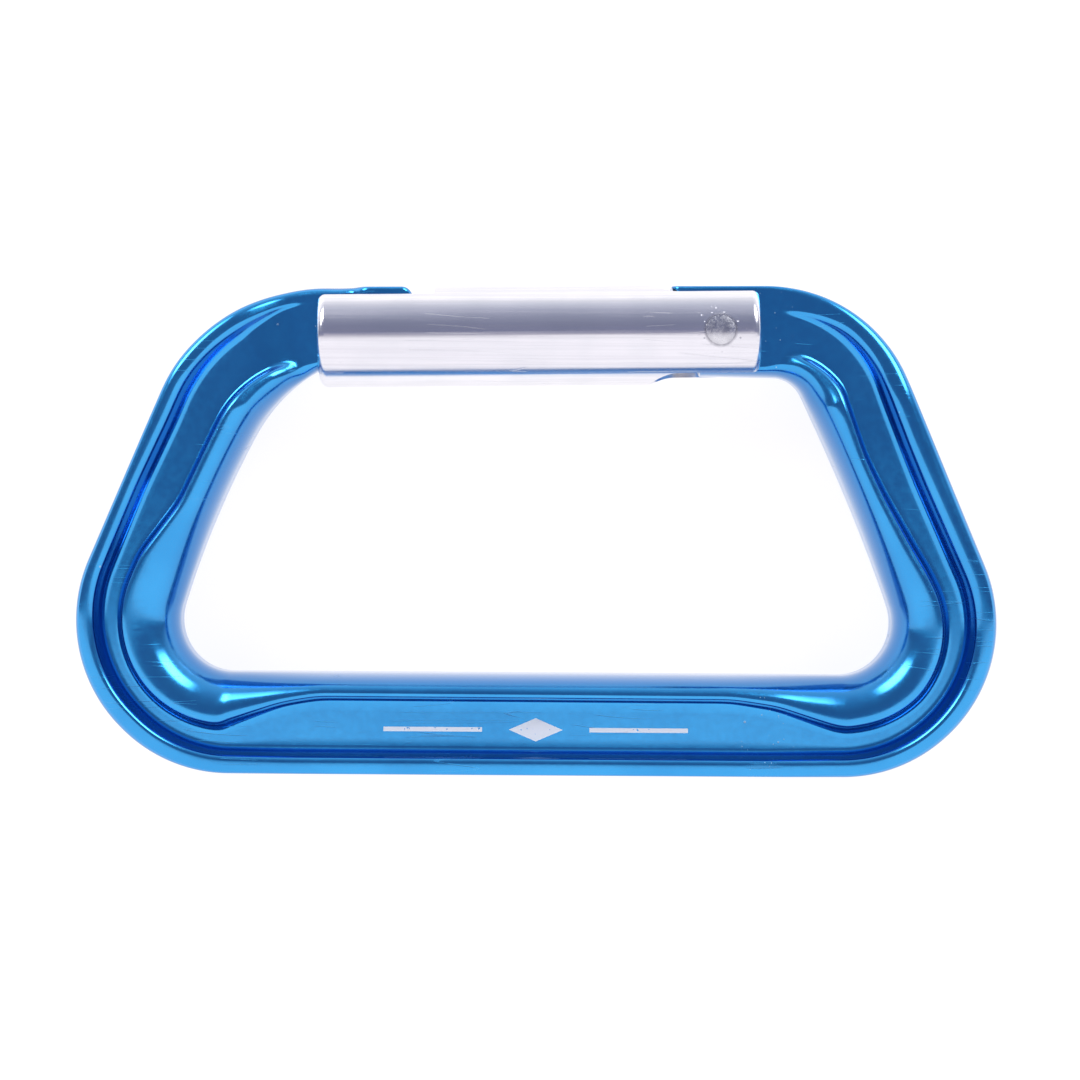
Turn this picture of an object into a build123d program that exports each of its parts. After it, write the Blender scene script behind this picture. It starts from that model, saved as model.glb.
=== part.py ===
from build123d import *
import os
from math import asin, atan, cos, degrees, radians, sin

os.makedirs("parts", exist_ok=True)

# A trapezoidal snap carabiner lying flat.  X runs along the spine with the hinge
# at +X, Y runs from the spine at -Y to the gate at +Y, and Z is the thickness.
# The origin is the middle of the outer box.  All sizes are in millimetres, and
# angles in degrees.

# body: outer corners of the bar
BASE_X = 34.1                 # the two spine corners are mirror images
BASE_Y = -10.2
BASE_R = 16.94
NOSE_CORNER = (-23.5, 7.26)
NOSE_CORNER_R = 19.84
HINGE_CORNER = (25.6, 11.0)
HINGE_CORNER_R = 16.5
HALF_THICK = 5.95             # rims, from the mid plane

# body: the eye, every stretch tangent to the next
EYE_BASE = (34.15, -10.25)    # centres of the rope-bearing corners, mirrored
EYE_BASE_R = 5.87
EYE_HINGE = (26.5, 13.8)
EYE_HINGE_R = 3.6
HINGE_SIDE_LEAN = 26.5        # from upright, at the top of the inner side
HINGE_SIDE_TURN = 7.0
HINGE_SIDE_R = 202.0
NOSE_SIDE_LEAN = 16.5         # from upright, at the foot of the inner side
NOSE_SIDE_TURN = 11.5
NOSE_SIDE_R = 103.0
NOSE_BEND_TURN = 34.0
NOSE_BEND_R = 18.0
NOSE_EXIT_R = 2.0

# body: rounded rims and the forged relief on both faces
OUTER_EDGE_R = 1.5
INNER_EDGE_R = 3.2
WEB_HALF = 3.0
RIM_WIDTH = 2.0
INNER_FLANGE = 3.4
BASE_ROLL_R = 12.3            # the inner flange grows into a broad roll at the corners
RELIEF_BLEND_R = 7.0
RELIEF_FOOT_R = 1.0
RELIEF_NOSE_END_X = -27.0
RELIEF_HINGE_END_X = 28.4

# body: nose and tang
NOSE_TIP_X = -14.1
NOSE_TIP_R = 1.2
NECK_HALF = 2.1
NECK_END_X = -21.0
HEAD_START_X = -19.3
HEAD_HALF = 3.1
NECK_CUTTER_R = 8.0
NECK_CUTTER_X = -26.5
NECK_CUT_START_Y = 5.0
NECK_CUT_FROM = 270.0         # the cutter's lowest point
NECK_CUT_TURN = 75.0          # how far up the cutter's side the cut runs
TANG_HALF = 3.1
TANG_TOP_X = 14.9
TANG_TOP_Y = 27.5
TANG_FOOT_X = 18.3
TANG_FOOT_Y = 17.46
TANG_END_R = 0.8
TANG_MILLED_X = 27.6

# gate: distances along the rod are from the pivot
PIVOT = (20.17, 22.26)
GATE_TILT = 0.85              # the rod's axis against the spine
GATE_R = 5.6
GATE_REACH = 44.8
GATE_TAIL = 4.6
GATE_END_ROUND = 0.9
NOSE_SLOT_FLOOR = -3.75       # across the rod, from its axis
NOSE_SLOT_HALF = 2.25
NOSE_POCKET_HALF = 3.3
FLARE_START = 41.6
FLARE_END = 39.8
NOSE_POCKET_END = 33.4
RUNOUT_R = 9.0                # the pocket's cutter, where it leaves the rod
RUNOUT_REACH = 1.7
HINGE_SLOT_HALF = 3.25
HINGE_SLOT_REACH = 7.7
SPRING_BORE_R = 2.75
SPRING_BORE_END = 27.0
DRILL_POINT = 1.6

# rivet
RIVET_R = 1.5
RIVET_RUN_CLEARANCE = 0.04
RIVET_HEAD_R = 1.62
RIVET_HEAD_TOP = 5.85
RIVET_DOME_RISE = 0.25
RIVET_SEAT = 5.15

# pushrod and spring: the knuckle is placed from the pivot along and across the
# gate, and the pushrod's own distances are from the knuckle's axis
KNUCKLE_R = 1.0
KNUCKLE_HALF = 2.6
KNUCKLE_CLEARANCE = 0.05
KNUCKLE_REACH = 3.15
KNUCKLE_DROP = 2.5
ROD_R = 0.85
ROD_GUIDE = 14.0              # the point that stays on the bore's axis
COLLAR_AT = 12.0
COLLAR_R = 2.15
COLLAR_LENGTH = 1.0
STEM_R = 1.1
STEM_END = 16.0
SPRING_COIL_R = 2.1
SPRING_WIRE_R = 0.3
SPRING_TURNS = 8
SPRING_FRONT = 16.8           # both from the pivot
SPRING_BACK = 26.6
SPRING_LENGTH = SPRING_BACK - SPRING_FRONT

PAST = 1.0                    # how far a cutter passes a face
TALL = 20.0                   # more than any thickness
TOUCHING = 0.01               # nearer than this counts as the same place
PARALLEL = 0.001              # and this, for a face's direction

tilt = radians(GATE_TILT)
along_gate = Vector(cos(tilt), sin(tilt), 0)
gate_plane = Plane(origin=(PIVOT[0], PIVOT[1], 0), x_dir=along_gate, z_dir=(0, 0, 1))
gate_bore_plane = Plane(origin=gate_plane.origin, x_dir=(0, 0, 1), z_dir=-along_gate)
gate_slot_plane = Plane(origin=gate_plane.origin, x_dir=along_gate, z_dir=gate_plane.y_dir)
pivot_plane = Plane(origin=gate_plane.origin, z_dir=(0, 0, 1))
rivet_section_plane = Plane(origin=gate_plane.origin, x_dir=(1, 0, 0), z_dir=(0, -1, 0))
knuckle_centre = gate_plane.from_local_coords((-KNUCKLE_REACH, -KNUCKLE_DROP, 0))
rod_guide_reach = KNUCKLE_REACH + (ROD_GUIDE ** 2 - KNUCKLE_DROP ** 2) ** 0.5
rod_guide_point = gate_plane.from_local_coords((-rod_guide_reach, 0, 0))
rod_plane = Plane(origin=knuckle_centre, x_dir=rod_guide_point - knuckle_centre, z_dir=(0, 0, 1))
tang_slant = (TANG_FOOT_X - TANG_TOP_X) / (TANG_TOP_Y - TANG_FOOT_Y)
tang_end_normal_x = -cos(atan(tang_slant))


def is_dip(corner):
    """Where the inner flange meets a corner roll."""
    reach = Vector(abs(corner.X) - BASE_X, corner.Y - BASE_Y).length
    return abs(reach - BASE_ROLL_R) < TOUCHING


# the inner edge of the bar, clockwise from the corner under the tang
with BuildSketch() as eye:
    with BuildLine():
        hinge_bend_start = (EYE_HINGE[0], EYE_HINGE[1] + EYE_HINGE_R)
        hinge_bend = JernArc(hinge_bend_start, (1, 0), EYE_HINGE_R, HINGE_SIDE_LEAN - 90)
        hinge_side = JernArc(hinge_bend @ 1, hinge_bend % 1, HINGE_SIDE_R, -HINGE_SIDE_TURN)
        foot_lean = HINGE_SIDE_LEAN - HINGE_SIDE_TURN
        base_right = CenterArc(EYE_BASE, EYE_BASE_R, foot_lean, -90 - foot_lean)
        Line(hinge_side @ 1, base_right @ 0)
        base_left_centre = (-EYE_BASE[0], EYE_BASE[1])
        base_left = CenterArc(base_left_centre, EYE_BASE_R, 270, -90 - NOSE_SIDE_LEAN)
        Line(base_right @ 1, base_left @ 0)
        nose_side = JernArc(base_left @ 1, base_left % 1, NOSE_SIDE_R, -NOSE_SIDE_TURN)
        nose_bend = JernArc(nose_side @ 1, nose_side % 1, NOSE_BEND_R, -NOSE_BEND_TURN)
        exit_turn = 90 - NOSE_SIDE_LEAN - NOSE_SIDE_TURN - NOSE_BEND_TURN
        nose_exit = JernArc(nose_bend @ 1, nose_bend % 1, NOSE_EXIT_R, -exit_turn)
        Line(nose_exit @ 1, hinge_bend_start)
    make_face()


# the relief: inside the rim, outside the inner flange and the corner rolls
with BuildSketch() as flange_land:
    add(eye.sketch)
    offset(amount=INNER_FLANGE)
    with Locations((-BASE_X, BASE_Y), (BASE_X, BASE_Y)):
        Circle(BASE_ROLL_R)
    fillet(flange_land.vertices().filter_by(is_dip), RELIEF_BLEND_R)

with BuildSketch() as relief:
    with Locations((-BASE_X, BASE_Y), (BASE_X, BASE_Y)):
        Circle(BASE_R - RIM_WIDTH)
    with Locations(NOSE_CORNER):
        Circle(NOSE_CORNER_R - RIM_WIDTH)
    with Locations(HINGE_CORNER):
        Circle(HINGE_CORNER_R - RIM_WIDTH)
    make_hull()
    add(flange_land.sketch, mode=Mode.SUBTRACT)
    with Locations(((RELIEF_NOSE_END_X + RELIEF_HINGE_END_X) / 2, HINGE_CORNER[1] + TALL / 2)):
        Rectangle(RELIEF_HINGE_END_X - RELIEF_NOSE_END_X, TALL, mode=Mode.SUBTRACT)


# body: one forging with a nose, an I-section bar and a tang
with BuildPart() as body:
    with BuildSketch():
        with Locations((-BASE_X, BASE_Y), (BASE_X, BASE_Y)):
            Circle(BASE_R)
        with Locations(NOSE_CORNER):
            Circle(NOSE_CORNER_R)
        with Locations(HINGE_CORNER):
            Circle(HINGE_CORNER_R)
        make_hull()
    extrude(amount=HALF_THICK, both=True)
    fillet(body.edges().filter_by(Plane.XY), OUTER_EDGE_R)
    extrude(eye.sketch, amount=HALF_THICK, both=True, mode=Mode.SUBTRACT)
    eye_rims = [
        wire
        for rim_face in body.faces().filter_by(Plane.XY)
        for wire in rim_face.inner_wires()
    ]
    fillet(ShapeList(eye_rims).edges(), INNER_EDGE_R)

    # the relief, sunk from both faces down to the web
    with BuildSketch(Plane.XY.offset(WEB_HALF)):
        add(relief.sketch)
    extrude(amount=HALF_THICK, mode=Mode.SUBTRACT)
    with BuildSketch(Plane.XY.offset(-WEB_HALF)):
        add(relief.sketch)
    extrude(amount=-HALF_THICK, mode=Mode.SUBTRACT)
    web_edges = body.edges().filter_by(lambda edge: abs(abs(edge.center().Z) - WEB_HALF) < TOUCHING)
    fillet(web_edges, RELIEF_FOOT_R)

    # the gate's opening, between the nose tip and the slanted end of the tang
    with BuildSketch(Plane.XY.offset(-TALL / 2)):
        with BuildLine():
            Polyline(
                (NOSE_TIP_X, TANG_FOOT_Y - PAST),
                (NOSE_TIP_X, TANG_TOP_Y + PAST),
                (TANG_TOP_X - PAST * tang_slant, TANG_TOP_Y + PAST),
                (TANG_FOOT_X + PAST * tang_slant, TANG_FOOT_Y - PAST),
                close=True,
            )
        make_face()
    extrude(amount=TALL, mode=Mode.SUBTRACT)
    upright_edges = body.edges().filter_by(Axis.Z)
    fillet(upright_edges.filter_by(lambda edge: abs(edge.center().X - NOSE_TIP_X) < TOUCHING), NOSE_TIP_R)

    # the nose: a thin neck and a wider head, milled from both faces
    for side in (1, -1):
        with BuildSketch(Plane.XZ.offset(-NECK_CUT_START_Y)):
            with BuildLine():
                cutter_centre = (NECK_CUTTER_X, side * (NECK_HALF + NECK_CUTTER_R))
                neck_arc = CenterArc(
                    cutter_centre, NECK_CUTTER_R, side * NECK_CUT_FROM, side * -NECK_CUT_TURN
                )
                Polyline(
                    neck_arc @ 0,
                    (NECK_END_X, side * NECK_HALF),
                    (HEAD_START_X, side * HEAD_HALF),
                    (NOSE_TIP_X + PAST, side * HEAD_HALF),
                    (NOSE_TIP_X + PAST, side * (NECK_HALF + NECK_CUTTER_R)),
                    neck_arc @ 1,
                )
            make_face()
        extrude(amount=-2 * TALL, mode=Mode.SUBTRACT)

    # the tang: flat milled cheeks
    for side in (1, -1):
        with BuildSketch(Plane.XY.offset(side * TANG_HALF)):
            with Locations((TANG_MILLED_X, TANG_TOP_Y)):
                Rectangle(TALL, TALL, align=(Align.MAX, Align.CENTER))
        extrude(amount=side * TALL, mode=Mode.SUBTRACT)
    tang_end = body.faces().filter_by(lambda face: abs(face.normal_at().X - tang_end_normal_x) < PARALLEL)
    fillet(tang_end.edges().filter_by(lambda edge: abs(edge.center().Z) > TANG_HALF - TOUCHING), TANG_END_R)

    # the rivet's running bore, and the groove the pushrod's knuckle rocks in
    with BuildSketch(pivot_plane.offset(-TALL / 2)):
        Circle(RIVET_R + RIVET_RUN_CLEARANCE)
    with BuildSketch(rod_plane.offset(-TALL / 2)):
        Circle(KNUCKLE_R + KNUCKLE_CLEARANCE)
    extrude(amount=TALL, mode=Mode.SUBTRACT)
body.part.label = "body"
export_step(body.part, "parts/body.step")


# gate: a solid rod, slotted for the nose, forked over the tang and bored for the spring
with BuildPart() as gate:
    with BuildSketch(gate_bore_plane.offset(-GATE_TAIL)):
        Circle(GATE_R)
    extrude(amount=GATE_REACH + GATE_TAIL)
    fillet(gate.edges(), GATE_END_ROUND)

    # the slot that drops over the nose, flared behind the neck
    with BuildSketch(gate_slot_plane.offset(NOSE_SLOT_FLOOR)):
        with BuildLine():
            Polyline(
                (-GATE_REACH - PAST, -NOSE_SLOT_HALF),
                (-FLARE_START, -NOSE_SLOT_HALF),
                (-FLARE_END, -NOSE_POCKET_HALF),
                (-NOSE_POCKET_END, -NOSE_POCKET_HALF),
                (-NOSE_POCKET_END, NOSE_POCKET_HALF),
                (-FLARE_END, NOSE_POCKET_HALF),
                (-FLARE_START, NOSE_SLOT_HALF),
                (-GATE_REACH - PAST, NOSE_SLOT_HALF),
                close=True,
            )
        make_face()
    extrude(amount=TALL, mode=Mode.SUBTRACT)
    with BuildSketch(gate_plane.offset(-NOSE_POCKET_HALF)):
        with Locations((-NOSE_POCKET_END - RUNOUT_R + RUNOUT_REACH, GATE_R)):
            Circle(RUNOUT_R)
    extrude(amount=2 * NOSE_POCKET_HALF, mode=Mode.SUBTRACT)

    # the fork over the tang
    with BuildSketch(gate_slot_plane.offset(-TALL / 2)):
        with Locations((HINGE_SLOT_HALF - HINGE_SLOT_REACH, 0)):
            Circle(HINGE_SLOT_HALF)
            Rectangle(TALL, 2 * HINGE_SLOT_HALF, align=(Align.MIN, Align.CENTER))
    extrude(amount=TALL, mode=Mode.SUBTRACT)

    # the blind spring bore, with its drill point
    with BuildSketch(gate_plane):
        Polygon(
            (-HINGE_SLOT_REACH + PAST, 0),
            (-HINGE_SLOT_REACH + PAST, SPRING_BORE_R),
            (-SPRING_BORE_END, SPRING_BORE_R),
            (-SPRING_BORE_END - DRILL_POINT, 0),
            align=None,
        )
    revolve(axis=Axis(gate_plane.origin, along_gate), mode=Mode.SUBTRACT)

    # rivet holes through the cheeks, with a seat for each head
    with BuildSketch(pivot_plane.offset(-TALL / 2)):
        Circle(RIVET_R)
    extrude(amount=TALL, mode=Mode.SUBTRACT)
    for side in (1, -1):
        with BuildSketch(pivot_plane.offset(side * RIVET_SEAT)):
            Circle(RIVET_HEAD_R)
        extrude(amount=side * TALL, mode=Mode.SUBTRACT)
gate.part.label = "gate"
export_step(gate.part, "parts/gate.step")


# rivet: a shank with a low dome peened on each end
rivet_dome_edge = RIVET_HEAD_TOP - RIVET_DOME_RISE
dome_r = (RIVET_HEAD_R ** 2 + RIVET_DOME_RISE ** 2) / (2 * RIVET_DOME_RISE)
dome_angle = degrees(asin(RIVET_HEAD_R / dome_r))
with BuildPart() as gate_rivet:
    with BuildSketch(rivet_section_plane):
        with BuildLine():
            top_dome = CenterArc((0, RIVET_HEAD_TOP - dome_r), dome_r, 90 - dome_angle, dome_angle)
            Polyline(
                top_dome @ 0,
                (RIVET_HEAD_R, RIVET_SEAT),
                (RIVET_R, RIVET_SEAT),
                (RIVET_R, -RIVET_SEAT),
                (RIVET_HEAD_R, -RIVET_SEAT),
                (RIVET_HEAD_R, -rivet_dome_edge),
            )
            low_dome = CenterArc((0, dome_r - RIVET_HEAD_TOP), dome_r, dome_angle - 90, -dome_angle)
            Line(low_dome @ 1, top_dome @ 1)
        make_face()
    revolve(axis=Axis(pivot_plane.origin, (0, 0, 1)))
gate_rivet.part.label = "gate_rivet"
export_step(gate_rivet.part, "parts/gate_rivet.step")


# pushrod: a cross knuckle that rocks in the tang's groove, a collar for the spring and a stem
with BuildPart() as pushrod:
    with BuildSketch(rod_plane):
        Polygon(
            (0, 0),
            (0, ROD_R),
            (COLLAR_AT, ROD_R),
            (COLLAR_AT, COLLAR_R),
            (COLLAR_AT + COLLAR_LENGTH, COLLAR_R),
            (COLLAR_AT + COLLAR_LENGTH, STEM_R),
            (STEM_END, STEM_R),
            (STEM_END, 0),
            align=None,
        )
    revolve(axis=Axis(rod_plane.origin, rod_plane.x_dir))
    with BuildSketch(rod_plane):
        Circle(KNUCKLE_R)
    extrude(amount=KNUCKLE_HALF, both=True)
pushrod.part.label = "pushrod"
export_step(pushrod.part, "parts/pushrod.step")


# gate spring: an open coil between the pushrod's collar and the end of the bore
with BuildPart() as gate_spring:
    with BuildLine():
        coil = Helix(
            pitch=SPRING_LENGTH / SPRING_TURNS,
            height=SPRING_LENGTH,
            radius=SPRING_COIL_R,
            center=gate_plane.from_local_coords((-SPRING_FRONT, 0, 0)),
            direction=-along_gate,
        )
    with BuildSketch(Plane(origin=coil @ 0, z_dir=coil % 0)):
        Circle(SPRING_WIRE_R)
    sweep(is_frenet=True)
gate_spring.part.label = "gate_spring"
export_step(gate_spring.part, "parts/gate_spring.step")
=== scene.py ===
from math import acos, atan2, ceil, cos, hypot, pi, radians, sin

import bpy
import numpy as np
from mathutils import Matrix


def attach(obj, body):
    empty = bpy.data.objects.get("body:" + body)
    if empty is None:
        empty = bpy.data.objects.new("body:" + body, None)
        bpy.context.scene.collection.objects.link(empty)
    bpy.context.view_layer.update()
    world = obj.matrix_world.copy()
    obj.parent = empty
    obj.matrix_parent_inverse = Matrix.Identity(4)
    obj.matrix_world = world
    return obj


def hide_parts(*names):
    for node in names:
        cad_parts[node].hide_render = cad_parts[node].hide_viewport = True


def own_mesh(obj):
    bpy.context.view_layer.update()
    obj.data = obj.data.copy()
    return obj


# A snap carabiner seen from straight above. Lengths are in millimetres and angles in
# degrees; MM turns them into Blender's metres. X runs along the spine with the hinge
# at +X, Y runs from the spine to the gate, and the origin is the middle of the bar.
MM = 0.001

# outline of the bar: outer corners, nose and tang, then the eye
NOSE_CORNER = (-23.5, 7.26)
NOSE_CORNER_R = 19.84
HINGE_CORNER = (25.6, 11.0)
HINGE_CORNER_R = 16.5
BASE_X = 34.1                 # the two spine corners are mirror images
BASE_Y = -10.2
BASE_R = 16.94
NOSE_TIP_X = -14.1
TANG_TOP_X = 14.9
TANG_FOOT = (18.3, 17.46)
EYE_BASE = (34.15, -10.25)
EYE_BASE_R = 5.87
EYE_HINGE_TOP = (26.5, 17.4)
EYE_HINGE_R = 3.6
HINGE_SIDE_LEAN = 26.5
HINGE_SIDE_TURN = 7.0
HINGE_SIDE_R = 202.0
NOSE_SIDE_LEAN = 16.5
NOSE_SIDE_TURN = 11.5
NOSE_SIDE_R = 103.0
NOSE_BEND_TURN = 34.0
NOSE_BEND_R = 18.0
NOSE_EXIT_R = 2.0
INSET = 0.02                  # keeps the bar inside the CAD solid's faceted outline

# section of the bar, from the mid plane
HALF_THICK = 5.95
WEB_HALF = 3.0
NECK_HALF = 2.1
HEAD_HALF = 3.1
NECK_START_X = -31.5          # where the web starts to thin towards the neck
NECK_X = -27.0
HEAD_START_X = -21.0
HEAD_X = -19.3
INNER_ROLL_DEPTH = 5.2        # of the rope-bearing rounding, at full thickness
WALL_STEEPEST = 80.0
TIP_ROUND = 1.2
TANG_ROUND = 0.8
STATION_STEP = 0.4            # between sections along the bar
BLEND_LENGTH = 0.9            # over which the relief eases from knot to knot
BLEND_REACH = 2.4             # how far the easing looks each way
FINE_STEP = 0.2               # between the points that the relief is eased on
EASE_MARGIN = 6.0             # of those points past both ends of the bar
ROLL_LEAST = 0.7              # of the bar's width, left for the inner roll
TIP_SLOPE = 0.8               # how much of the tip's rounding its faces take
FLANK_TOP = 0.97              # of the height up to the roundings, where the flanks' points end
SHARP_EDGE = 50.0             # angle from which an edge is shaded sharp

# The relief, as knots of (distance along the outside from the nose tip, size there).
# All but the heights and the two widths are measured in from the outside.
EDGE_WIDTH = [                # outer rounding
    (6, 0.5), (8, 1.0), (46, 0.9), (73, 1.8), (87, 0.9), (150, 0.9),
    (167, 1.6), (189, 1.5), (201, 1.7), (219, 1.1), (230, 0.5),
]
EDGE_DEPTH = [
    (6, 0.4), (8, 1.3), (11, 0.8), (38, 0.8), (56, 1.2), (73, 1.5), (86, 0.65), (95, 0.5),
    (148, 0.5), (167, 1.5), (193, 1.4), (219, 0.8), (230, 0.3),
]
CREST = [                     # inner side of the rim's top
    (9, 1.3), (35, 1.2), (43, 1.0), (50, 1.15), (73, 1.85), (86, 1.45), (92, 1.3), (146, 1.3),
    (160, 1.5), (175, 1.75), (189, 1.7), (203, 1.95), (219, 1.5), (226, 2.4),
]
FOOT = [                      # of the rim's wall
    (15, 1.9), (18, 2.7), (21, 3.15), (35, 3.2), (43, 2.9), (50, 2.95), (66, 3.3), (73, 3.3),
    (86, 3.0), (146, 2.9), (160, 3.1), (189, 3.95), (199, 4.15), (208, 3.9), (220, 3.4),
    (226, 3.2),
]
LIFT = [                      # where the web rises to the inner flange
    (0, 6.6), (12, 7.5), (20, 7.05), (35, 6.05), (43, 5.75), (50, 4.0), (85, 4.1), (92, 7.0),
    (96, 7.7), (142, 7.65), (147, 6.8), (154, 4.3), (168, 4.15), (189, 4.9), (199, 6.3),
    (204, 6.7), (213, 6.15), (223, 6.5), (230, 7.6),
]
RISE_WIDTH = [                # of the wall up to the inner flange
    (0, 1.7), (10, 0.8), (17, 1.25), (35, 1.7), (50, 1.75), (73, 1.9), (86, 2.15), (92, 1.3),
    (142, 1.25), (150, 1.6), (157, 2.15), (193, 2.3), (204, 1.7), (230, 1.5),
]
RIM_HEIGHT = [(13.5, 0.0), (29, 2.95), (209, 2.95), (227, 0.0)]
FLANGE_HEIGHT = [(15.5, 0.0), (29, 2.95), (210, 2.95), (226, 0.0)]

# gate, rivet, pushrod and spring, where the bar or a material has to match them
PIVOT = (20.17, 22.26)
BORE_R = 1.54
KNUCKLE = (17.057, 19.714)
GROOVE_R = 1.05
CUTTER_SIDES = 72
RIVET_SEAT_R = 1.62

# printed mark on the spine
MARK_Y = -22.3
MARK_HALF = 17.0
MARK_LINE = 0.5
LOZENGE_HALF = 3.0
LOZENGE_RISE = 1.3
MARK_FLECK = 0.5
MARK_WORN = (0.30, 0.36)      # noise under which the print is gone, and over which it is whole

# finishes, and painted shade on steep faces and round the rivet's head
NOISE_MIDDLE = (0.3, 0.7)     # the part of a noise's range that a finish varies over
SCRATCH_STRETCH = (0.04, 1, 0.04)
SCRATCH_BREAKS = 6            # spacings between the breaks in a scratch
SCRATCH_KEPT = (0.62, 0.70)   # noise over which a scratch comes in, less the share it covers
NICK_LEAST = 0.25             # size of the smallest nick against the largest
NICK_CORE = 0.4               # of a nick's radius, at full depth
TANG_NICKS_START = (22, 24)   # along X, where the nicks beside the gate come in
TANG_NICKS_END = (27, 30)
STEEP_FACING = (0.40, 0.90)   # upward share of a normal, over which the painted shade of steep faces fades, from steep to flat
BLUE_LOW = (0.027, 0.36, 0.79)
BLUE_HIGH = (0.036, 0.41, 0.86)
BLUE_SCUFFED = (0.10, 0.48, 0.90)
BLUE_NICKED = (0.50, 0.68, 0.84)
# painted shade of the steep walls and flanks
BLUE_STEEP_SHADE = (0.028, 0.22, 0.56)
MARK_WHITE = (0.86, 0.90, 0.94)
SILVER_LOW = (0.86, 0.86, 0.89)
SILVER_HIGH = (0.92, 0.91, 0.94)
SILVER_DRAWN = (0.78, 0.77, 0.81)
SILVER_SCUFFED = (0.70, 0.70, 0.73)
SILVER_NICKED = (0.62, 0.62, 0.66)
# painted shade of the gap round the rivet's head
RIVET_GAP_SHADE = (0.26, 0.26, 0.30)
STEEL_SCUFFED = (0.75, 0.75, 0.77)
FLOOR_LOW = (0.20, 0.195, 0.20)
FLOOR_HIGH = (0.22, 0.215, 0.22)
FLOOR_GLOW = (1.0, 0.985, 1.0)
FLOOR_GLOW_STRENGTH = 0.89

# studio: the sky's colour against its tilt from the zenith towards +Y
SKY = [
    (-90, (1.01, 0.99, 1.05)),
    (-3.6, (1.01, 0.99, 1.05)),
    (-2.6, (0.50, 0.40, 0.48)),
    (-1.4, (0.20, 0.21, 0.33)),
    (20, (0.19, 0.205, 0.31)),
    (42, (0.25, 0.27, 0.38)),
    (60, (0.42, 0.44, 0.56)),
    (76, (0.68, 0.70, 0.80)),
    (90, (0.97, 0.97, 1.02)),
]
BOX_AZIMUTH = (32, 68)        # two soft boxes, from the X axis and above the horizon
BOX_HEIGHT = (23, 44)
BOX_SOFT = (8, 4)
BOX_STRENGTH = 7.0
FLOOR_HALF = 3000.0
FLOOR_GAP = 0.02              # under the bar
CAMERA_HEIGHT = 230.0
CAMERA_OVER = (0.34, -1.10)
CAMERA_ROLL = 0.38
CAMERA_NEAREST = 10.0
VIEW_HALF = 61.1              # half the width of the picture, at the mid plane

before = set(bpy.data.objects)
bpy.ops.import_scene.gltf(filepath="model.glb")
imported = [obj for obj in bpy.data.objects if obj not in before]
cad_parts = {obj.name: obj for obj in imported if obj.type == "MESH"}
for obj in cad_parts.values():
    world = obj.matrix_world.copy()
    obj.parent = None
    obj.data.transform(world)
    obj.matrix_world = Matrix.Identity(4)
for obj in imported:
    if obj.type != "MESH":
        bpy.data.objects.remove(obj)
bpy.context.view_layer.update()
scene = bpy.context.scene
scene.view_settings.view_transform = "Standard"


# --- bar -----------------------------------------------------------------------------


def tangent_angle(c1, r1, c2, r2, side):
    """Direction from the centres to where their outer common tangent touches both circles."""
    dx, dy = c2[0] - c1[0], c2[1] - c1[1]
    return atan2(dy, dx) + side * acos((r1 - r2) / hypot(dx, dy))


def on_circle(centre, r, angle):
    angle = np.asarray(angle, float)
    return np.stack([centre[0] + r * np.cos(angle), centre[1] + r * np.sin(angle)], -1)


def turned_arc(start, heading, r, turn, count=60):
    """Points of an arc that leaves start along heading, and the heading at its end."""
    side = 1 if turn > 0 else -1
    centre = (start[0] - side * r * sin(heading), start[1] + side * r * cos(heading))
    first = atan2(start[1] - centre[1], start[0] - centre[0])
    return on_circle(centre, r, first + np.linspace(0, turn, count)), heading + turn


def eye_outline():
    nose_base = (-EYE_BASE[0], EYE_BASE[1])
    foot_lean = HINGE_SIDE_LEAN - HINGE_SIDE_TURN
    hinge_bend, heading = turned_arc(EYE_HINGE_TOP, 0.0, EYE_HINGE_R, radians(HINGE_SIDE_LEAN - 90))
    hinge_side, _ = turned_arc(hinge_bend[-1], heading, HINGE_SIDE_R, -radians(HINGE_SIDE_TURN))
    base_right = on_circle(EYE_BASE, EYE_BASE_R, np.radians(np.linspace(foot_lean, -90, 80)))
    base_left = on_circle(nose_base, EYE_BASE_R, np.radians(np.linspace(270, 180 - NOSE_SIDE_LEAN, 80)))
    side_heading = radians(90 - NOSE_SIDE_LEAN)
    nose_side, heading = turned_arc(base_left[-1], side_heading, NOSE_SIDE_R, -radians(NOSE_SIDE_TURN))
    nose_bend, heading = turned_arc(nose_side[-1], heading, NOSE_BEND_R, -radians(NOSE_BEND_TURN))
    exit_turn = 90 - NOSE_SIDE_LEAN - NOSE_SIDE_TURN - NOSE_BEND_TURN
    nose_exit, _ = turned_arc(nose_bend[-1], heading, NOSE_EXIT_R, -radians(exit_turn))
    return np.concatenate(
        [hinge_bend, hinge_side, base_right, base_left, nose_side, nose_bend, nose_exit, [EYE_HINGE_TOP]]
    )


def first_hit(origin, direction, outline):
    """Distance from origin along direction to the outline."""
    start, edge = outline[:-1], outline[1:] - outline[:-1]
    gap = start - origin
    det = direction[1] * edge[:, 0] - direction[0] * edge[:, 1]
    with np.errstate(divide="ignore", invalid="ignore"):
        along = (gap[:, 1] * edge[:, 0] - gap[:, 0] * edge[:, 1]) / det
        share = (direction[0] * gap[:, 1] - direction[1] * gap[:, 0]) / det
    met = (share >= -1e-9) & (share <= 1 + 1e-9) & (along > 1e-3)
    return along[met].min()


def station_count(length):
    return int(ceil(length / STATION_STEP)) + 1


def straight(start, end, way, rounded):
    """Stations on a straight stretch, closer together over its first rounded millimetres."""
    length = hypot(*(end - start))
    share = np.linspace(0, 1, station_count(length))
    if rounded:
        near = rounded * (1 - np.cos(np.linspace(0, pi / 2, 7))) / length
        share = np.concatenate([near, share[share > rounded / length + 1e-6]])
    return start + (end - start) * share[:, None], np.tile(way, (len(share), 1))


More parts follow.
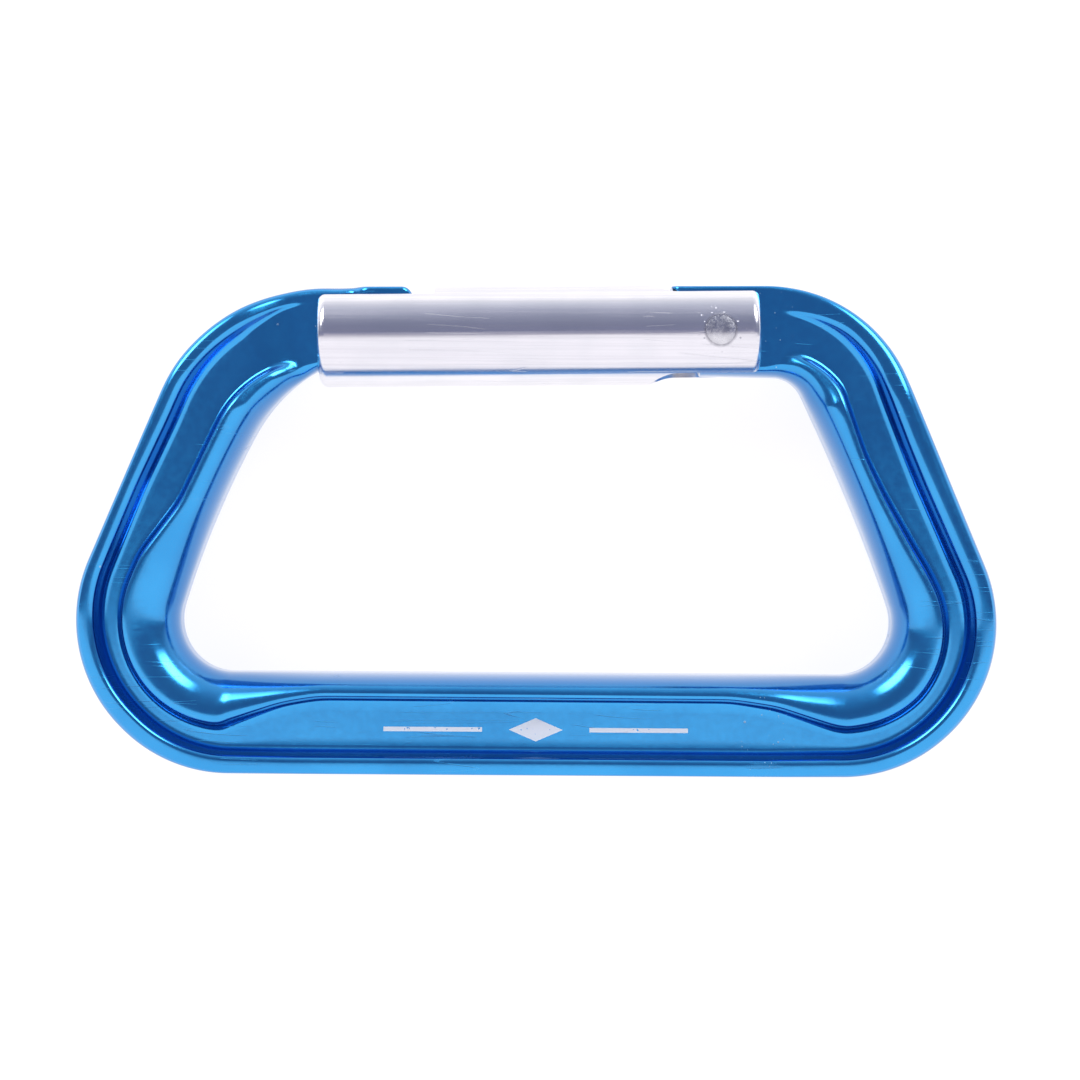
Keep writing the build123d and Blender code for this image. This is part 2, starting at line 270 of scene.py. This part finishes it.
def corner(centre, r, start, end):
    """Stations round an outer corner."""
    angle = np.linspace(start, end, station_count(r * abs(end - start)))
    return on_circle(centre, r, angle), -on_circle((0, 0), 1, angle)


def bar_stations():
    """Outer points along the bar from nose tip to tang, and the way in from each."""
    nose_base, hinge_base = (-BASE_X, BASE_Y), (BASE_X, BASE_Y)
    top = tangent_angle(NOSE_CORNER, NOSE_CORNER_R, HINGE_CORNER, HINGE_CORNER_R, 1)
    left = tangent_angle(NOSE_CORNER, NOSE_CORNER_R, nose_base, BASE_R, -1) + 2 * pi
    right = tangent_angle(hinge_base, BASE_R, HINGE_CORNER, HINGE_CORNER_R, -1)
    foot = 1.5 * pi
    top_nose = on_circle(NOSE_CORNER, NOSE_CORNER_R, top)
    top_hinge = on_circle(HINGE_CORNER, HINGE_CORNER_R, top)
    along_top = (top_hinge - top_nose) / (top_hinge[0] - top_nose[0])
    tip = top_nose + along_top * (NOSE_TIP_X - top_nose[0])
    tang_top = top_nose + along_top * (TANG_TOP_X - top_nose[0])

    tang, _ = straight(tang_top, top_hinge, (0, 0), TANG_ROUND)
    tang = tang[::-1]
    share = (tang[:, :1] - top_hinge[0]) / (tang_top[0] - top_hinge[0])
    lean = np.array([top_hinge[0], TANG_FOOT[1]]) * (1 - share) + np.array(TANG_FOOT) * share - tang
    stretches = [
        straight(tip, top_nose, -on_circle((0, 0), 1, top), TIP_ROUND),
        corner(NOSE_CORNER, NOSE_CORNER_R, top, left),
        straight(
            on_circle(NOSE_CORNER, NOSE_CORNER_R, left),
            on_circle(nose_base, BASE_R, left),
            -on_circle((0, 0), 1, left),
            0,
        ),
        corner(nose_base, BASE_R, left, foot),
        straight(on_circle(nose_base, BASE_R, foot), on_circle(hinge_base, BASE_R, foot), (0, 1), 0),
        corner(hinge_base, BASE_R, foot, right + 2 * pi),
        straight(
            on_circle(hinge_base, BASE_R, right),
            on_circle(HINGE_CORNER, HINGE_CORNER_R, right),
            -on_circle((0, 0), 1, right),
            0,
        ),
        corner(HINGE_CORNER, HINGE_CORNER_R, right, top),
        (tang, lean / np.hypot(lean[:, 0], lean[:, 1])[:, None]),
    ]
    outer = np.concatenate([stretches[0][0]] + [points[1:] for points, _ in stretches[1:]])
    inward = np.concatenate([stretches[0][1]] + [ways[1:] for _, ways in stretches[1:]])
    return outer + INSET * inward, inward


def eased(knots, travel):
    """A size of the relief at each station, smoothed over its knots."""
    fine = np.arange(travel[0] - EASE_MARGIN, travel[-1] + EASE_MARGIN, FINE_STEP)
    reach = np.arange(-BLEND_REACH, BLEND_REACH + FINE_STEP / 2, FINE_STEP)
    kernel = np.exp(-0.5 * (reach / BLEND_LENGTH) ** 2)
    padded = np.pad(np.interp(fine, *zip(*knots)), len(kernel) // 2, mode="edge")
    return np.interp(travel, fine, np.convolve(padded, kernel / kernel.sum(), mode="valid"))


def smooth_step(value, start, end):
    share = np.clip((value - start) / (end - start), 0, 1)
    return share * share * (3 - 2 * share)


def web_levels(x, travel):
    """Half thickness of the web, which thins to the neck and thickens again at the nose's head."""
    thinned = WEB_HALF - (WEB_HALF - NECK_HALF) * smooth_step(x, NECK_START_X, NECK_X)
    nose = thinned + (HEAD_HALF - NECK_HALF) * smooth_step(x, HEAD_START_X, HEAD_X)
    return np.where(travel < travel[-1] / 4, nose, WEB_HALF)


def wall_profile(width, height, count=9):
    """Plan and drop along a wall: a convex arc, a straight stretch and a concave arc."""
    height = np.maximum(height, 0.002)
    steep = np.clip(2 * np.arctan(height / width), 1e-4, radians(WALL_STEEPEST))
    run = 2 * np.sin(steep) - 2 * (1 - np.cos(steep)) / np.tan(steep)
    r = (width - height / np.tan(steep)) / run
    angle = steep * np.linspace(0, 1, count)
    plan, drop = r * np.sin(angle), r * (1 - np.cos(angle))
    return np.hstack([plan, width - plan[:, ::-1]]), np.hstack([drop, height - drop[:, ::-1]])


def bar_rings():
    """Closed rings of points, one round the bar at each station."""
    outer, inward = bar_stations()
    eye = eye_outline()
    width = np.array([[first_hit(point, way, eye)] for point, way in zip(outer, inward)])
    steps = np.hypot(*np.diff(outer, axis=0).T)
    travel = np.concatenate([[0], np.cumsum(steps)])
    tracks = (EDGE_WIDTH, EDGE_DEPTH, CREST, FOOT, LIFT, RISE_WIDTH, RIM_HEIGHT, FLANGE_HEIGHT)
    edge_width, edge_depth, crest, foot, lift, rise, rim_height, flange_height = (
        eased(knots, travel)[:, None] for knots in tracks
    )
    flange = np.minimum(lift + rise, width - ROLL_LEAST)
    middle = outer + inward * width / 2
    web = web_levels(middle[:, 0], travel)[:, None]
    rim, inner = web + rim_height, web + flange_height

    turn = np.linspace(0, pi / 2, 11)
    edge = edge_width * (1 - np.cos(turn)), rim - edge_depth * (1 - np.sin(turn))
    plan, drop = wall_profile(foot - crest, rim_height)
    wall = crest + plan, rim - drop
    share = np.linspace(0, 1, 6)[1:-1]
    floor = foot + (lift - foot) * share, web + 0 * share
    plan, drop = wall_profile(flange - lift, flange_height)
    climb = (flange - plan)[:, ::-1], (inner - drop)[:, ::-1]
    turn = np.linspace(0, pi / 2, 19)[1:]
    roll_depth = INNER_ROLL_DEPTH * inner / HALF_THICK
    roll = flange + (width - flange) * np.sin(turn), inner - roll_depth * (1 - np.cos(turn))
    across = np.hstack([part[0] for part in (edge, wall, floor, climb, roll)])
    height = np.hstack([part[1] for part in (edge, wall, floor, climb, roll)])

    # below the roundings the flanks go straight down to the mid plane
    low = np.linspace(0, FLANK_TOP, 4)
    across = np.hstack([across[:, :1] + 0 * low, across, across[:, -1:] + 0 * low])
    height = np.hstack([height[:, :1] * low, height, height[:, -1:] * low[::-1]])

    # the nose's tip is rounded all round, and the tang's end along its faces
    gap = np.clip(1 - travel / TIP_ROUND, 0, 1)[:, None]
    shrink = TIP_ROUND * (1 - np.sqrt(1 - gap ** 2))
    across = shrink + across * (width - 2 * shrink) / width
    height = height * (rim - TIP_SLOPE * shrink) / rim
    gap = np.clip(1 - (travel[-1] - travel) / TANG_ROUND, 0, 1)[:, None]
    height = height * (rim - TANG_ROUND * (1 - np.sqrt(1 - gap ** 2))) / rim

    upper = np.dstack([outer[:, None] + inward[:, None] * across[:, :, None], height])
    lower = upper[:, -2:0:-1] * (1, 1, -1)
    return np.concatenate([upper, lower], 1)


def cut_through(obj, centre, r):
    """A round hole through obj along Z."""
    bpy.ops.mesh.primitive_cylinder_add(
        vertices=CUTTER_SIDES,
        radius=r * MM,
        depth=4 * HALF_THICK * MM,
        location=(centre[0] * MM, centre[1] * MM, 0),
    )
    cutter = bpy.context.object
    change = obj.modifiers.new("hole", "BOOLEAN")
    change.object = cutter
    change.operation = "DIFFERENCE"
    change.solver = "EXACT"
    graph = bpy.context.evaluated_depsgraph_get()
    cut = bpy.data.meshes.new_from_object(obj.evaluated_get(graph))
    obj.modifiers.clear()
    obj.data = cut
    bpy.data.objects.remove(cutter)


def build_bar():
    rings = bar_rings()
    count, size = rings.shape[:2]
    i, j = np.meshgrid(np.arange(count - 1), np.arange(size), indexing="ij")
    k = (j + 1) % size
    quads = np.stack([i * size + j, i * size + k, (i + 1) * size + k, (i + 1) * size + j], -1)
    ends = [list(range(size - 1, -1, -1)), list(range((count - 1) * size, count * size))]
    mesh = bpy.data.meshes.new("bar")
    mesh.from_pydata((rings.reshape(-1, 3) * MM).tolist(), [], quads.reshape(-1, 4).tolist() + ends)
    mesh.materials.append(anodised_material())
    bar = bpy.data.objects.new("bar", mesh)
    scene.collection.objects.link(bar)
    cut_through(bar, PIVOT, BORE_R)
    cut_through(bar, KNUCKLE, GROOVE_R)
    bar.data.shade_smooth()
    bar.data.set_sharp_from_angle(angle=radians(SHARP_EDGE))
    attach(bar, "body")
    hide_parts("body")


# --- materials -----------------------------------------------------------------------


class Graph:
    """Adds nodes to one node tree. An input may be a number, a colour or another node's output."""

    def __init__(self, tree):
        self.tree = tree

    def feed(self, socket, value):
        if isinstance(value, bpy.types.NodeSocket):
            self.tree.links.new(value, socket)
        elif socket.type == "RGBA":
            socket.default_value = (*value, 1)
        else:
            socket.default_value = value

    def add(self, kind, inputs, **settings):
        node = self.tree.nodes.new(kind)
        for name, value in settings.items():
            setattr(node, name, value)
        for key, value in inputs.items():
            self.feed(node.inputs[key], value)
        return node

    def math(self, operation, *values):
        return self.add("ShaderNodeMath", dict(enumerate(values)), operation=operation).outputs[0]

    def product(self, *values):
        total = values[0]
        for value in values[1:]:
            total = self.math("MULTIPLY", total, value)
        return total

    def remap(self, value, start, end, low=0.0, high=1.0):
        """low where value is start or less, high where it is end or more, eased between."""
        inputs = {"Value": value, "From Min": start, "From Max": end, "To Min": low, "To Max": high}
        return self.add("ShaderNodeMapRange", inputs, interpolation_type="SMOOTHSTEP").outputs[0]

    def vary(self, noise, low=0.0, high=1.0):
        """low to high over the middle of a noise's range."""
        return self.remap(noise, *NOISE_MIDDLE, low, high)

    def mix(self, share, first, second):
        """A colour between first and second. A Mix node's colour sockets are its 7th and 8th."""
        return self.add("ShaderNodeMix", {0: share, 6: first, 7: second}, data_type="RGBA").outputs[2]

    def tint(self, base, colour, mask, most):
        """base, turned towards colour where mask is 1, by most of the way."""
        return self.mix(self.product(mask, most), base, colour)

    def place(self, stretch=(1, 1, 1), turn=0.0):
        """Where the point is on the piece, in metres, turned about Z by radians and stretched."""
        here = self.add("ShaderNodeTexCoord", {}).outputs["Object"]
        inputs = {"Vector": here, "Rotation": (0, 0, turn), "Scale": stretch}
        return self.add("ShaderNodeMapping", inputs).outputs[0]

    def noise(self, place, size, detail=2.0):
        """Smooth noise from 0 to 1 whose patches are about size across."""
        inputs = {"Vector": place, "Scale": 1 / (size * MM), "Detail": detail}
        return self.add("ShaderNodeTexNoise", inputs).outputs[0]

    def scratches(self, turn, spacing, width, share):
        """1 on thin straight scratches along one direction, broken up so that they cover a share.

        turn is in radians, and width is how far from its middle the noise may be on a scratch.
        """
        along = self.place(stretch=SCRATCH_STRETCH, turn=turn)
        off_line = self.math("ABSOLUTE", self.math("SUBTRACT", self.noise(along, spacing, detail=0.0), 0.5))
        broken = self.noise(self.place(turn=turn), SCRATCH_BREAKS * spacing, detail=1.0)
        kept = self.remap(broken, *(limit - share for limit in SCRATCH_KEPT))
        return self.product(self.remap(off_line, 0.0, width, 1, 0), kept)

    def nicks(self, spacing, radius, share):
        """1 on small nicks of mixed sizes: one in a share of the cells of the given spacing."""
        cells = self.add("ShaderNodeTexVoronoi", {"Vector": self.place(), "Scale": 1 / (spacing * MM)})
        choice, size = self.add("ShaderNodeSeparateColor", {0: cells.outputs["Color"]}).outputs[:2]
        reach = self.math("DIVIDE", cells.outputs["Distance"], self.math("ADD", size, NICK_LEAST))
        spots = self.remap(reach, NICK_CORE * radius / spacing, radius / spacing, 1, 0)
        return self.product(spots, self.math("LESS_THAN", choice, share))

    def bump(self, height, depth, under=None):
        """A normal for relief of the given depth, over another normal if there is one."""
        inputs = {"Height": height, "Distance": depth * MM, "Strength": 1.0}
        if under is not None:
            inputs["Normal"] = under
        return self.add("ShaderNodeBump", inputs).outputs[0]


def new_material(name):
    """A material, its graph and its Principled BSDF's inputs."""
    material = bpy.data.materials.new(name)
    material.use_nodes = True
    return material, Graph(material.node_tree), material.node_tree.nodes["Principled BSDF"].inputs


def mark_mask(graph):
    """1 on the plain printed mark of the spine: a lozenge between two thin lines."""
    x, y, z = graph.add("ShaderNodeSeparateXYZ", {0: graph.place()}).outputs
    across = graph.math("ABSOLUTE", x)
    up = graph.math("ABSOLUTE", graph.math("SUBTRACT", y, MARK_Y * MM))
    line = graph.product(
        graph.math("LESS_THAN", up, MARK_LINE * MM / 2),
        graph.math("LESS_THAN", across, MARK_HALF * MM),
        graph.math("GREATER_THAN", across, 2 * LOZENGE_HALF * MM),
    )
    slope = graph.math("MULTIPLY_ADD", up, LOZENGE_HALF / LOZENGE_RISE, across)
    lozenge = graph.math("LESS_THAN", slope, LOZENGE_HALF * MM)
    flecks = graph.remap(graph.noise(graph.place(), MARK_FLECK, detail=3.0), *MARK_WORN)
    near_face = graph.math("GREATER_THAN", z, 0.0)
    return graph.product(graph.math("MAXIMUM", line, lozenge), near_face, flecks)


def anodised_wear(graph):
    """Masks of the scuffs and nicks: nicks are everywhere, and crowded beside the gate."""
    x = graph.add("ShaderNodeSeparateXYZ", {0: graph.place()}).outputs[0]
    begin = graph.remap(x, *(limit * MM for limit in TANG_NICKS_START))
    finish = graph.remap(x, *(limit * MM for limit in TANG_NICKS_END), 1, 0)
    crowded = graph.product(graph.nicks(spacing=0.6, radius=0.12, share=0.6), begin, finish)
    nicks = graph.math("MAXIMUM", graph.nicks(spacing=2.1, radius=0.16, share=0.15), crowded)
    scuffs = graph.math(
        "MAXIMUM",
        graph.scratches(turn=0.5, spacing=1.2, width=0.012, share=0.06),
        graph.scratches(turn=-1.1, spacing=1.5, width=0.010, share=0.05),
    )
    return scuffs, nicks


def anodised_material():
    """Deep blue anodising over a tumbled forging: glossy, slightly uneven, with small nicks, and painted
    shade on its steep faces.
    """
    material, graph, inputs = new_material("anodised_bar")
    here = graph.place()
    scuffs, nicks = anodised_wear(graph)
    wear = graph.math("MAXIMUM", scuffs, nicks)
    mark = mark_mask(graph)
    facing = graph.add("ShaderNodeTexCoord", {}).outputs["Normal"]
    upright = graph.math("ABSOLUTE", graph.add("ShaderNodeSeparateXYZ", {0: facing}).outputs[2])
    # painted shade: 1 on steep faces and 0 on flat ones, for darkening the blue
    steep = graph.remap(upright, *STEEP_FACING, 1, 0)

    blue = graph.mix(graph.vary(graph.noise(here, size=9.0, detail=3.0)), BLUE_LOW, BLUE_HIGH)
    blue = graph.tint(blue, BLUE_SCUFFED, scuffs, most=0.35)
    blue = graph.tint(blue, BLUE_NICKED, nicks, most=0.6)
    # painted shade: the steep walls and flanks are darkened towards navy
    blue = graph.mix(steep, blue, BLUE_STEEP_SHADE)
    graph.feed(inputs["Base Color"], graph.mix(mark, blue, MARK_WHITE))
    graph.feed(inputs["Metallic"], graph.remap(mark, 0.0, 1.0, 1, 0))
    rough = graph.vary(graph.noise(here, size=0.7, detail=3.0), low=0.15, high=0.20)
    for mask, rougher in ((wear, 0.14), (mark, 0.3)):
        rough = graph.math("MULTIPLY_ADD", mask, rougher, rough)
    graph.feed(inputs["Roughness"], rough)
    relief = graph.bump(graph.noise(here, size=1.6), depth=0.0035)
    relief = graph.bump(graph.noise(here, size=0.22, detail=3.0), depth=0.0009, under=relief)
    graph.feed(inputs["Normal"], graph.bump(wear, depth=-0.004, under=relief))
    graph.feed(inputs["Coat Weight"], 0.8)
    graph.feed(inputs["Coat Roughness"], 0.07)
    return material


def rivet_shade_and_nicks(graph):
    """Masks of a ring round the rivet's head on the gate, painted dark as shade and made duller, and of the
    nicks round it.
    """
    x, y = graph.add("ShaderNodeSeparateXYZ", {0: graph.place()}).outputs[:2]
    squares = [
        graph.math("POWER", graph.math("SUBTRACT", value, middle * MM), 2.0)
        for value, middle in zip((x, y), PIVOT)
    ]
    from_rivet = graph.math("SQRT", graph.math("ADD", *squares))
    near = graph.remap(from_rivet, 1.2 * RIVET_SEAT_R * MM, 2.2 * RIVET_SEAT_R * MM, 1, 0)
    nicks = graph.product(graph.nicks(spacing=0.5, radius=0.14, share=0.8), near)
    ring = graph.remap(from_rivet, RIVET_SEAT_R * MM, 1.25 * RIVET_SEAT_R * MM, 1, 0)
    patchy = graph.remap(graph.noise(graph.place(), size=0.8, detail=3.0), 0.25, 0.55, low=0.5)
    return graph.product(ring, patchy), nicks


def gate_material():
    """Polished rod: fine drawing lines along it, light scratches, and a dull ring round the rivet, darkened
    as painted shade.
    """
    material, graph, inputs = new_material("gate_metal")
    lines = graph.noise(graph.place(stretch=(0.012, 1, 1)), size=0.35, detail=3.0)
    bands = graph.noise(graph.place(stretch=(0.02, 1, 1)), size=1.5, detail=1.0)
    cloud = graph.vary(graph.noise(graph.place(), size=6.0, detail=3.0))
    scuffs = graph.math(
        "MAXIMUM",
        graph.scratches(turn=0.15, spacing=1.1, width=0.010, share=0.08),
        graph.scratches(turn=1.2, spacing=1.6, width=0.008, share=0.03),
    )
    seat_shade_and_dull, nicks = rivet_shade_and_nicks(graph)

    silver = graph.mix(cloud, SILVER_LOW, SILVER_HIGH)
    silver = graph.mix(graph.remap(lines, 0.35, 0.7, high=0.5), silver, SILVER_DRAWN)
    silver = graph.tint(silver, SILVER_SCUFFED, scuffs, most=0.4)
    silver = graph.tint(silver, SILVER_NICKED, nicks, most=0.5)
    # painted shade: the ring round the rivet's head is darkened
    graph.feed(inputs["Base Color"], graph.tint(silver, RIVET_GAP_SHADE, seat_shade_and_dull, most=0.7))
    graph.feed(inputs["Metallic"], 1.0)
    rough = graph.vary(lines, low=0.15, high=0.23)
    dull = graph.math("MAXIMUM", scuffs, seat_shade_and_dull)
    graph.feed(inputs["Roughness"], graph.math("MULTIPLY_ADD", dull, 0.12, rough))
    relief = graph.bump(bands, depth=0.0030)
    relief = graph.bump(lines, depth=0.0016, under=relief)
    relief = graph.bump(scuffs, depth=-0.003, under=relief)
    graph.feed(inputs["Normal"], graph.bump(nicks, depth=-0.02, under=relief))
    return material


def steel_material(name, dark, light, rough, lay, lay_size, dent_size, dent_depth):
    """Satin steel: a lay of fine lines that is stretched one way, over shallow dents."""
    material, graph, inputs = new_material(name)
    lines = graph.noise(graph.place(stretch=lay), lay_size)
    dents = graph.noise(graph.place(), dent_size)
    scuffs = graph.scratches(turn=0.7, spacing=0.7, width=0.015, share=0.10)
    steel = graph.mix(graph.vary(dents), dark, light)
    graph.feed(inputs["Base Color"], graph.tint(steel, STEEL_SCUFFED, scuffs, most=0.4))
    graph.feed(inputs["Metallic"], 1.0)
    graph.feed(inputs["Roughness"], graph.vary(lines, low=rough, high=rough + 0.12))
    relief = graph.bump(dents, dent_depth)
    graph.feed(inputs["Normal"], graph.bump(lines, depth=0.0008, under=relief))
    return material


def floor_material():
    """A pale, faintly mottled matt sheet that glows, as if lit through from below."""
    material, graph, inputs = new_material("floor")
    mottle = graph.vary(graph.noise(graph.place(), size=50.0, detail=3.0))
    graph.feed(inputs["Base Color"], graph.mix(mottle, FLOOR_LOW, FLOOR_HIGH))
    graph.feed(inputs["Roughness"], 0.7)
    graph.feed(inputs["Emission Color"], FLOOR_GLOW)
    graph.feed(inputs["Emission Strength"], FLOOR_GLOW_STRENGTH)
    return material


# --- pieces --------------------------------------------------------------------------


def dress(node_name, material):
    for material_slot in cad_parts[node_name].material_slots:
        material_slot.material = material


def build_spring():
    """The coil of the CAD as a piece of its own, which moves with the gate."""
    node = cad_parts["gate_spring"]
    spring = bpy.data.objects.new("gate_spring_coil", node.data.copy())
    spring.matrix_world = node.matrix_world.copy()
    scene.collection.objects.link(spring)
    steel = steel_material(
        "spring_metal", dark=(0.36, 0.36, 0.39), light=(0.50, 0.50, 0.53), rough=0.22,
        lay=(1, 1, 1), lay_size=0.2, dent_size=1.5, dent_depth=0.004,
    )
    spring.data.materials.clear()
    spring.data.materials.append(steel)
    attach(spring, "gate")
    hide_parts("gate_spring")
    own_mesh(spring)


# --- studio --------------------------------------------------------------------------


def build_floor():
    mesh = bpy.data.meshes.new("floor")
    corners = [(-1, -1, 0), (1, -1, 0), (1, 1, 0), (-1, 1, 0)]
    points = [tuple(FLOOR_HALF * MM * c for c in corner) for corner in corners]
    mesh.from_pydata(points, [], [(0, 1, 2, 3)])
    mesh.materials.append(floor_material())
    floor = bpy.data.objects.new("floor", mesh)
    floor.location = (0, 0, -(HALF_THICK + FLOOR_GAP) * MM)
    scene.collection.objects.link(floor)


def soft_box(graph, azimuth, height):
    """1 inside a soft-edged patch of the sky, given a direction's azimuth and height in degrees."""
    inside = []
    for value, (low, high), soft in zip((azimuth, height), (BOX_AZIMUTH, BOX_HEIGHT), BOX_SOFT):
        inside.append(graph.remap(value, low - soft, low + soft))
        inside.append(graph.remap(value, high - soft, high + soft, 1, 0))
    return graph.product(*inside)


def build_sky():
    """A white half of the sky towards -Y, a dim half towards +Y, and two small soft boxes behind."""
    world = bpy.data.worlds.new("studio")
    scene.world = world
    world.use_nodes = True
    world.node_tree.nodes.clear()
    graph = Graph(world.node_tree)
    way = graph.add("ShaderNodeTexCoord", {}).outputs["Generated"]
    x, y, z = graph.add("ShaderNodeSeparateXYZ", {0: way}).outputs
    to_degrees = 180 / pi
    tilt = graph.product(graph.math("ARCTAN2", y, z), to_degrees)
    azimuth = graph.product(graph.math("ARCTAN2", y, graph.math("ABSOLUTE", x)), to_degrees)
    height = graph.product(graph.math("ARCSINE", z), to_degrees)

    ramp = graph.add("ShaderNodeValToRGB", {0: graph.math("DIVIDE", graph.math("ADD", tilt, 90.0), 180.0)})
    steps = ramp.color_ramp.elements
    steps.remove(steps[-1])
    for index, (angle, colour) in enumerate(SKY):
        step = steps[0] if index == 0 else steps.new((angle + 90) / 180)
        step.position = (angle + 90) / 180
        step.color = (*colour, 1)
    sky = graph.add("ShaderNodeBackground", {"Color": ramp.outputs[0]})
    glow = graph.product(soft_box(graph, azimuth, height), BOX_STRENGTH)
    lamp = graph.add("ShaderNodeBackground", {"Strength": glow})
    both = graph.add("ShaderNodeAddShader", {0: sky.outputs[0], 1: lamp.outputs[0]})
    graph.add("ShaderNodeOutputWorld", {"Surface": both.outputs[0]})


def build_camera():
    data = bpy.data.cameras.new("camera")
    data.lens = data.sensor_width / 2 * CAMERA_HEIGHT / VIEW_HALF
    data.clip_start = CAMERA_NEAREST * MM
    camera = bpy.data.objects.new("camera", data)
    camera.location = [MM * place for place in (*CAMERA_OVER, CAMERA_HEIGHT)]
    camera.rotation_euler = (0, 0, radians(CAMERA_ROLL))
    scene.collection.objects.link(camera)
    scene.camera = camera


build_bar()
build_spring()
dress("gate", gate_material())
dress("gate_rivet", steel_material(
    "rivet_metal", dark=(0.60, 0.60, 0.63), light=(0.78, 0.78, 0.81), rough=0.20,
    lay=(1, 1, 1), lay_size=0.3, dent_size=1.2, dent_depth=0.006,
))
dress("pushrod", steel_material(
    "pushrod_metal", dark=(0.50, 0.50, 0.53), light=(0.62, 0.62, 0.65), rough=0.20,
    lay=(1, 0.02, 0.02), lay_size=0.15, dent_size=2.0, dent_depth=0.002,
))
build_floor()
build_sky()
build_camera()
